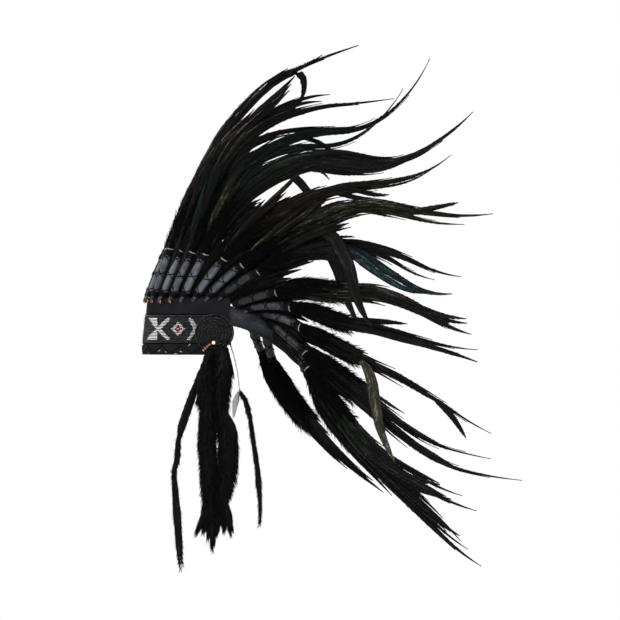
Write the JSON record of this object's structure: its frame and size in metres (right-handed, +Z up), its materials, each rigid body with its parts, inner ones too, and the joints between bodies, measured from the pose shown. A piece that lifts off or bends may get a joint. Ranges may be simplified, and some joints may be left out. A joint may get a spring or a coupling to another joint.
{
  "type": "feathered headdress",
  "caption": "Brow band with a beadwork panel and temple rosettes that carries a swept-back fan of long dark feathers in leather sleeves, with fur and feather drops at each side.",
  "frame": {"origin": "centre of the head opening, level with the lower rim of the crown band", "axes": "-Y is the way the wearer faces, +X is the wearer's left, +Z is up"},
  "size_m": [0.5552, 0.5005, 0.6917],
  "materials": {
    "band_felt": "matt charcoal felt",
    "seed_beads": "glossy black seed beads with a white and crimson figure on the brow",
    "strap_leather": "soft grey leather",
    "round_bead": "glossy pale yellow",
    "string_beads": "glossy reddish brown",
    "fur": "soft black fur",
    "feather": "black feathers with a dark green and brown sheen, grey leather sleeves at their feet",
    "suede": "pale grey suede"
  },
  "bodies": {
    "root": {"crown_band": "band_felt", "beaded_browband": "seed_beads", "nape_strap": "strap_leather", "rosette_left": "seed_beads", "bead_left": "round_bead", "bead_string_left": "string_beads", "fur_drop_front_left": "fur", "fur_drop_back_left": "fur", "feather_drop_front_left": "feather", "feather_drop_back_left": "feather", "drop_tie_left": "suede", "rosette_right": "seed_beads", "bead_right": "round_bead", "bead_string_right": "string_beads", "fur_drop_front_right": "fur", "fur_drop_back_right": "fur", "feather_drop_front_right": "feather", "feather_drop_back_right": "feather", "drop_tie_right": "suede", "feather_centre": "feather", "feather_left_01": "feather", "feather_left_02": "feather", "feather_left_03": "feather", "feather_left_04": "feather", "feather_left_05": "feather", "feather_left_06": "feather", "feather_left_07": "feather", "feather_left_08": "feather", "feather_left_09": "feather", "feather_left_10": "feather", "feather_left_11": "feather", "feather_left_12": "feather", "feather_left_13": "feather", "feather_left_14": "feather", "feather_left_15": "feather", "feather_right_01": "feather", "feather_right_02": "feather", "feather_right_03": "feather", "feather_right_04": "feather", "feather_right_05": "feather", "feather_right_06": "feather", "feather_right_07": "feather", "feather_right_08": "feather", "feather_right_09": "feather", "feather_right_10": "feather", "feather_right_11": "feather", "feather_right_12": "feather", "feather_right_13": "feather", "feather_right_14": "feather", "feather_right_15": "feather"}
  },
  "joints": []
}
